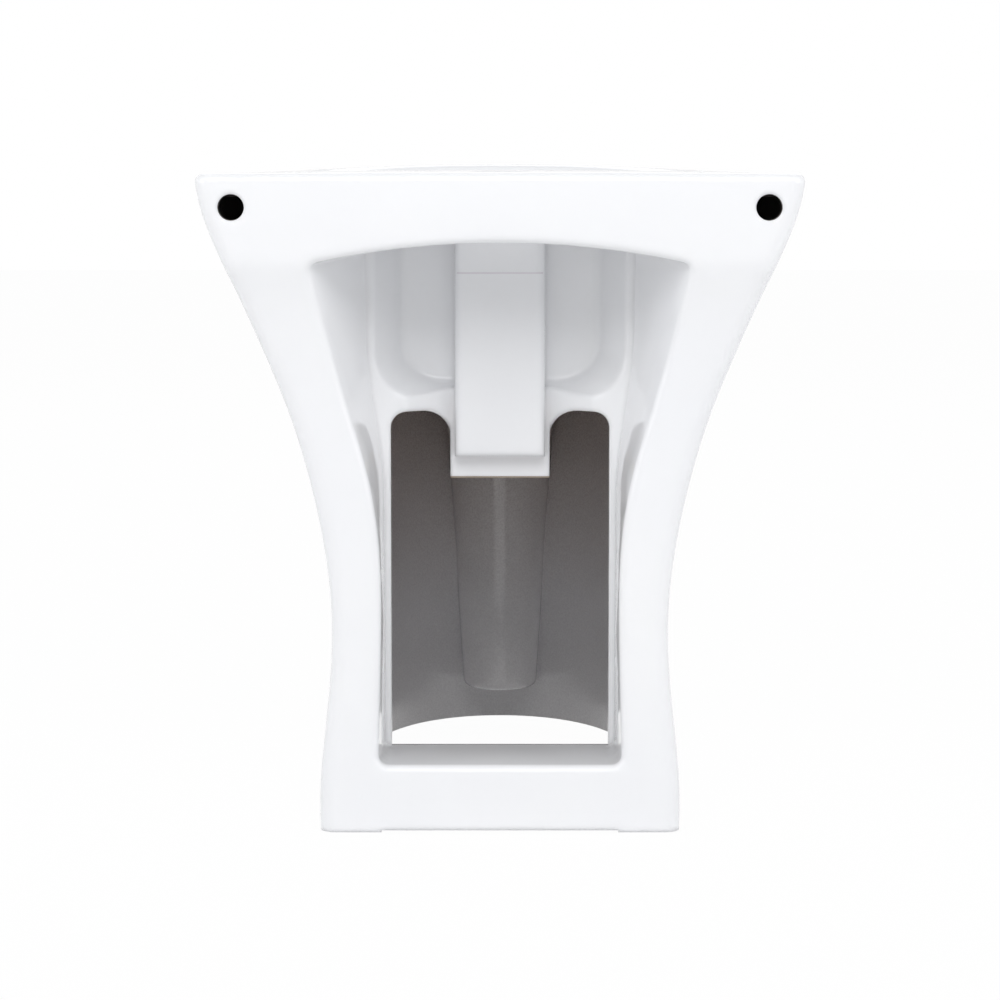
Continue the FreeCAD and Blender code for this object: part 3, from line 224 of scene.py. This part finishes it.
def lay_floor():
    form = bmesh.new()
    bmesh.ops.create_grid(form, x_segments=1, y_segments=1, size=FLOOR_HALF)
    bmesh.ops.translate(form, verts=form.verts, vec=(0.0, 0.0, -FLOOR_DROP))
    mesh = bpy.data.meshes.new("studio_floor")
    form.to_mesh(mesh)
    form.free()
    mesh.materials.append(floor_paint())
    floor = bpy.data.objects.new("studio_floor", mesh)
    bpy.context.collection.objects.link(floor)


# Finishes

def start_finish(name):
    finish = bpy.data.materials.new(name)
    finish.use_nodes = True
    return finish, finish.node_tree, finish.node_tree.nodes["Principled BSDF"]


def noise(tree, scale, detail=2.0, stretch=(1.0, 1.0, 1.0)):
    """A noise on the piece's own coordinates, its scale in waves to the metre."""
    place = tree.nodes.new("ShaderNodeTexCoord")
    turn = tree.nodes.new("ShaderNodeMapping")
    turn.inputs["Scale"].default_value = stretch
    grain = tree.nodes.new("ShaderNodeTexNoise")
    grain.inputs["Scale"].default_value = scale
    grain.inputs["Detail"].default_value = detail
    tree.links.new(place.outputs["Object"], turn.inputs["Vector"])
    tree.links.new(turn.outputs["Vector"], grain.inputs["Vector"])
    return grain.outputs["Fac"]


def height(tree):
    place = tree.nodes.new("ShaderNodeTexCoord")
    parts = tree.nodes.new("ShaderNodeSeparateXYZ")
    tree.links.new(place.outputs["Object"], parts.inputs[0])
    return parts.outputs["Z"]


def spread(tree, source, low, high, from_low=0.3, from_high=0.7):
    """A value carried from its own range to another."""
    ranged = tree.nodes.new("ShaderNodeMapRange")
    ranged.inputs["From Min"].default_value = from_low
    ranged.inputs["From Max"].default_value = from_high
    ranged.inputs["To Min"].default_value = low
    ranged.inputs["To Max"].default_value = high
    tree.links.new(source, ranged.inputs["Value"])
    return ranged.outputs[0]


def tint(tree, share, first, second):
    """A colour between two, by a share that is a value or a socket."""
    mix = tree.nodes.new("ShaderNodeMix")
    mix.data_type = "RGBA"
    tree.links.new(share, mix.inputs["Factor"])
    for socket, colour in ((mix.inputs[6], first), (mix.inputs[7], second)):
        if isinstance(colour, tuple):
            socket.default_value = colour + (1.0,)
        else:
            tree.links.new(colour, socket)
    return mix.outputs[2]


def in_box(tree, low, high):
    """One inside a box on the piece's own coordinates, and nought outside it."""
    place = tree.nodes.new("ShaderNodeTexCoord")
    parts = tree.nodes.new("ShaderNodeSeparateXYZ")
    tree.links.new(place.outputs["Object"], parts.inputs[0])
    inside = None
    for axis in range(3):
        for limit, operation in ((low[axis], "GREATER_THAN"), (high[axis], "LESS_THAN")):
            test = tree.nodes.new("ShaderNodeMath")
            test.operation = operation
            test.inputs[1].default_value = limit
            tree.links.new(parts.outputs[axis], test.inputs[0])
            if inside is None:
                inside = test.outputs[0]
                continue
            both = tree.nodes.new("ShaderNodeMath")
            both.operation = "MULTIPLY"
            tree.links.new(inside, both.inputs[0])
            tree.links.new(test.outputs[0], both.inputs[1])
            inside = both.outputs[0]
    return inside


def relief(tree, shader, source, depth, strength, under=None):
    bump = tree.nodes.new("ShaderNodeBump")
    bump.inputs["Strength"].default_value = strength
    bump.inputs["Distance"].default_value = depth
    tree.links.new(source, bump.inputs["Height"])
    if under is not None:
        tree.links.new(under, bump.inputs["Normal"])
    tree.links.new(bump.outputs["Normal"], shader.inputs["Normal"])


def soft_edges(tree, radius):
    """Normals that turn over every edge in a small round, as a melted glaze does."""
    eased = tree.nodes.new("ShaderNodeBevel")
    eased.samples = 8
    eased.inputs["Radius"].default_value = radius
    return eased.outputs["Normal"]


def glaze():
    finish, tree, shader = start_finish("white_glaze")
    cloud = spread(tree, noise(tree, 7.0, 3.0), 0.0, 1.0)
    white = tint(tree, cloud, (0.862, 0.868, 0.888), (0.886, 0.890, 0.902))
    shadow_line_low = (-SHADOW_LINE_HALF, WALL_PLANE - BOX_DEPTH - SHADOW_LINE_SLACK, SHADOW_LINE_HEIGHT - SHADOW_LINE_THICK / 2)
    shadow_line_high = (SHADOW_LINE_HALF, WALL_PLANE - BOX_DEPTH + SHADOW_LINE_SLACK, SHADOW_LINE_HEIGHT + SHADOW_LINE_THICK / 2)
    # A thin painted shadow line across the overflow box, at the lower edge of the band's shadow
    shadow_lined = tint(tree, in_box(tree, shadow_line_low, shadow_line_high), white, (0.74, 0.71, 0.75))
    edge_low = (-APRON_EDGE_HALF, WALL_PLANE - POCKET_DEPTH - APRON_SLACK, APRON_BOTTOM - APRON_UNDER)
    edge_high = (APRON_EDGE_HALF, WALL_PLANE - APRON_DEPTH + APRON_SLACK, APRON_BOTTOM + APRON_EDGE)
    edged = tint(tree, in_box(tree, edge_low, edge_high), shadow_lined, (0.40, 0.32, 0.25))
    tree.links.new(edged, shader.inputs["Base Color"])
    tree.links.new(spread(tree, noise(tree, 38.0, 2.0), 0.05, 0.11), shader.inputs["Roughness"])
    shader.inputs["IOR"].default_value = 1.52
    relief(tree, shader, noise(tree, 60.0, 1.0), 0.0003, 0.03, soft_edges(tree, 0.005))
    return finish


def thin_glaze():
    """Inside the foot the glaze is a thin wash with a fine grain, and it is painted darker and browner the
    higher it is, as painted shade.
    """
    finish, tree, shader = start_finish("thin_glaze")
    grain = spread(tree, noise(tree, 900.0, 4.0), 0.0, 1.0, 0.35, 0.65)
    low = tint(tree, grain, (0.86, 0.845, 0.86), (0.97, 0.96, 0.97))
    high = tint(tree, grain, (0.64, 0.57, 0.54), (0.82, 0.76, 0.73))
    # Painted shade: darker and browner towards the top of the foot, where less light comes up from the floor
    painted_shade_by_height = tint(tree, spread(tree, height(tree), 0.0, 1.0, 0.09, 0.23), low, high)
    tree.links.new(painted_shade_by_height, shader.inputs["Base Color"])
    tree.links.new(spread(tree, noise(tree, 60.0, 3.0), 0.11, 0.15), shader.inputs["Roughness"])
    shader.inputs["IOR"].default_value = 1.5
    relief(tree, shader, noise(tree, 700.0, 3.0), 0.0003, 0.15)
    return finish


def raw_clay_in_painted_shade():
    """The vents and closed spaces of the casting are never glazed, and their clay is painted near black as
    painted shade.
    """
    finish, tree, shader = start_finish("raw_clay_in_painted_shade")
    grain = spread(tree, noise(tree, 500.0, 5.0), 0.0, 1.0, 0.35, 0.65)
    # Near black: painted shade in the vent holes and hollows, not the clay's own colour
    tree.links.new(tint(tree, grain, (0.075, 0.066, 0.060), (0.11, 0.098, 0.088)), shader.inputs["Base Color"])
    tree.links.new(spread(tree, noise(tree, 80.0, 3.0), 0.8, 0.95), shader.inputs["Roughness"])
    relief(tree, shader, noise(tree, 800.0, 4.0), 0.0004, 0.3)
    return finish


def plating():
    finish, tree, shader = start_finish("chrome_plating")
    cloud = spread(tree, noise(tree, 45.0, 3.0), 0.0, 1.0)
    tree.links.new(tint(tree, cloud, (0.70, 0.71, 0.73), (0.78, 0.79, 0.80)), shader.inputs["Base Color"])
    shader.inputs["Metallic"].default_value = 1.0
    tree.links.new(spread(tree, noise(tree, 420.0, 4.0), 0.05, 0.14), shader.inputs["Roughness"])
    relief(tree, shader, noise(tree, 260.0, 2.0), 0.0001, 0.08, soft_edges(tree, 0.0004))
    return finish


def brass():
    finish, tree, shader = start_finish("turned_brass")
    cloud = spread(tree, noise(tree, 90.0, 4.0), 0.0, 1.0)
    tree.links.new(tint(tree, cloud, (0.52, 0.37, 0.15), (0.66, 0.49, 0.23)), shader.inputs["Base Color"])
    shader.inputs["Metallic"].default_value = 1.0
    tree.links.new(spread(tree, noise(tree, 200.0, 3.0), 0.22, 0.40), shader.inputs["Roughness"])
    relief(tree, shader, noise(tree, 60.0, 2.0, (1.0, 1.0, 40.0)), 0.0001, 0.2)
    return finish


def steel(name, dark, light, rough_low, rough_high):
    finish, tree, shader = start_finish(name)
    cloud = spread(tree, noise(tree, 300.0, 4.0), 0.0, 1.0)
    tree.links.new(tint(tree, cloud, dark, light), shader.inputs["Base Color"])
    shader.inputs["Metallic"].default_value = 1.0
    tree.links.new(spread(tree, noise(tree, 700.0, 3.0), rough_low, rough_high), shader.inputs["Roughness"])
    relief(tree, shader, noise(tree, 900.0, 2.0), 0.00005, 0.25)
    return finish


def moulded(name, dark, light, rough_low, rough_high, grain_scale=1400.0):
    """Moulded plastic or rubber: even colour, a fine spark-eroded grain and soft edges."""
    finish, tree, shader = start_finish(name)
    cloud = spread(tree, noise(tree, 120.0, 3.0), 0.0, 1.0)
    tree.links.new(tint(tree, cloud, dark, light), shader.inputs["Base Color"])
    tree.links.new(spread(tree, noise(tree, 350.0, 3.0), rough_low, rough_high), shader.inputs["Roughness"])
    relief(tree, shader, noise(tree, grain_scale, 2.0), 0.0001, 0.25, soft_edges(tree, 0.0004))
    return finish


# Pieces

def smooth_copy(node, name, body, sharp_degrees):
    """A merged copy of a solid that shades smoothly and stands for it."""
    form = bmesh.new()
    form.from_mesh(nodes[node].data)
    bmesh.ops.remove_doubles(form, verts=form.verts, dist=MERGE)
    for face in form.faces:
        face.smooth = True
    for edge in form.edges:
        if len(edge.link_faces) == 2:
            edge.smooth = edge.calc_face_angle() < math.radians(sharp_degrees)
    mesh = bpy.data.meshes.new(name)
    form.to_mesh(mesh)
    form.free()
    if "custom_normal" in mesh.attributes:
        mesh.attributes.remove(mesh.attributes["custom_normal"])
    piece = bpy.data.objects.new(name, mesh)
    bpy.context.collection.objects.link(piece)
    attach(piece, body)
    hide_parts(node)
    return piece


def half_width(level):
    for (low, narrow), (high, wide) in zip(SIDES, SIDES[1:]):
        if level <= high:
            return narrow + (level - low) / (high - low) * (wide - narrow)
    return SIDES[-1][1]


def inside_outline(place, inset):
    """Whether a place is this far inside the outer face of the casting, or further."""
    half = half_width(place.z)
    flare = (half - WAIST_HALF) / (RIM_HALF - WAIST_HALF)
    front = WAIST_FRONT + flare * (RIM_FRONT - WAIST_FRONT)
    fullness = FOOT_FULLNESS + flare * (RIM_FULLNESS - FOOT_FULLNESS)
    reach = (WALL_PLANE - place.y + OVERRUN) / (front + OVERRUN - inset)
    if reach >= 1.0:
        return False
    return abs(place.x) < (half - inset) * math.sqrt(1.0 - max(0.0, reach) ** fullness)


def in_leg(place, facing):
    """Whether a face beside the recess bounds the closed space in a hind leg or under the sill."""
    outward = facing.x * math.copysign(1.0, place.x)
    in_chamber = abs(place.x) < CHAMBER_HALF and place.z > CHAMBER_FLOOR
    if outward > SLIGHTLY and abs(place.x) > LEG_INSIDE:
        return True
    if facing.y < -PARTLY and not in_chamber:
        return True
    if facing.z < -MOSTLY and place.z < SILL_UNDERSIDE:
        return True
    return not inside_outline(place, LEG_WALL)


def open_to_above(place, facing, surface):
    """Whether nothing of the casting stands between a face and a place high over the middle of the bowl."""
    start = place + facing * HAIR
    return surface.ray_cast(start, OVER_BOWL - start)[0] is None


def finish_of_face(face, surface):
    """Full glaze, the thin glaze inside the foot, or the raw clay of the vents, the closed spaces and the top
    of the foot, painted near black as painted shade.
    """
    place = face.center
    facing = face.normal
    depth = WALL_PLANE - place.y
    off_vent = math.hypot(abs(place.x) - VENT_PLACE, place.z - VENT_HEIGHT)
    if off_vent < VENT_RADIUS + HAIR and TOUCH < depth < VENT_REACH:
        return SHADED_CLAY
    if facing.z < -SQUARELY and place.z < UNDERFOOT:
        return SHADED_CLAY
    on_outside = not inside_outline(place, OUTER_SKIN)
    if on_outside or place.z > DECK_UNDERSIDE + GRACE or depth < BAND_WALL - TOUCH:
        return GLAZE
    if facing.y > BARELY and depth < COVE_DEPTH:
        return GLAZE
    if depth < RECESS_DEPTH + OUTER_SKIN:
        return SHADED_CLAY if in_leg(place, facing) else GLAZE
    in_pocket = abs(place.x) < CHAMBER_HALF and place.z > ARCH_HEIGHT + GRACE
    on_apron = abs(place.x) < LEG_INSIDE and place.z > APRON_BOTTOM - GRACE and facing.y > SLIGHTLY
    if depth < POCKET_DEPTH + POCKET_SLACK and (in_pocket or on_apron):
        return GLAZE
    if place.z > SEAT_HEIGHT - OUTER_SKIN and open_to_above(place, facing, surface):
        return GLAZE
    # Higher up inside the foot the near-black raw clay stands in as painted shade
    return SHADED_CLAY if place.z > SHADED_CLAY_LEVEL else WASH


def make_casting():
    casting = smooth_copy("ceramic_body", "china_casting", "ware", CASTING_SHARP)
    for finish in (glaze(), thin_glaze(), raw_clay_in_painted_shade()):
        casting.data.materials.append(finish)
    corners = [vertex.co for vertex in casting.data.vertices]
    surface = BVHTree.FromPolygons(corners, [face.vertices for face in casting.data.polygons])
    for face in casting.data.polygons:
        face.material_index = finish_of_face(face, surface)


def make_fittings():
    chrome = plating()
    plain_brass = brass()
    rubber = moulded("seal_rubber", (0.016, 0.016, 0.017), (0.030, 0.030, 0.031), 0.55, 0.75, 900.0)
    nylon = moulded("white_nylon", (0.72, 0.72, 0.69), (0.78, 0.78, 0.75), 0.35, 0.50)
    black_plastic = moulded("cartridge_plastic", (0.020, 0.021, 0.023), (0.035, 0.036, 0.038), 0.35, 0.5)
    grey_plastic = moulded("bracket_plastic", (0.15, 0.155, 0.16), (0.19, 0.195, 0.20), 0.45, 0.6)
    cap_plastic = moulded("cap_plastic", (0.83, 0.835, 0.85), (0.87, 0.875, 0.885), 0.16, 0.26)
    wire = steel("spring_wire", (0.42, 0.43, 0.44), (0.55, 0.56, 0.57), 0.25, 0.4)
    zinc = steel("zinc_steel", (0.50, 0.51, 0.52), (0.64, 0.65, 0.66), 0.28, 0.45)
    finishes = {
        "overflow_ring": ("ware", "chrome_plate", chrome),
        "waste_body": ("ware", "chrome_plate", chrome),
        "flange_seal": ("ware", "seal_rubber", rubber),
        "lower_seal": ("ware", "seal_rubber", rubber),
        "slip_washer": ("ware", "white_nylon", nylon),
        "back_nut": ("ware", "plain_brass", plain_brass),
        "plug_cap": ("plug", "chrome_plate", chrome),
        "plug_seal": ("plug", "seal_rubber", rubber),
        "plug_stem": ("plug", "plain_brass", plain_brass),
        "click_cartridge": ("ware", "cartridge_plastic", black_plastic),
    }
    for side in ("left", "right"):
        finishes[side + "_floor_bracket"] = ("ware", "bracket_plastic", grey_plastic)
        finishes[side + "_fixing_screw"] = ("ware", "screw_steel", zinc)
        finishes[side + "_screw_sleeve"] = ("ware", "white_nylon", nylon)
        finishes[side + "_screw_cap"] = ("ware", "cap_plastic", cap_plastic)
    for node, (body, slot, finish) in finishes.items():
        piece = smooth_copy(node, node + "_shown", body, FITTING_SHARP)
        piece.data.materials.append(finish)
    spring = nodes["cartridge_spring"]
    spring.data.materials.clear()
    spring.data.materials.append(wire)


set_camera()
set_world()
for lamp in LAMPS:
    add_softbox(*lamp)
lay_floor()
make_casting()
make_fittings()
bpy.context.scene.view_settings.view_transform = "Standard"
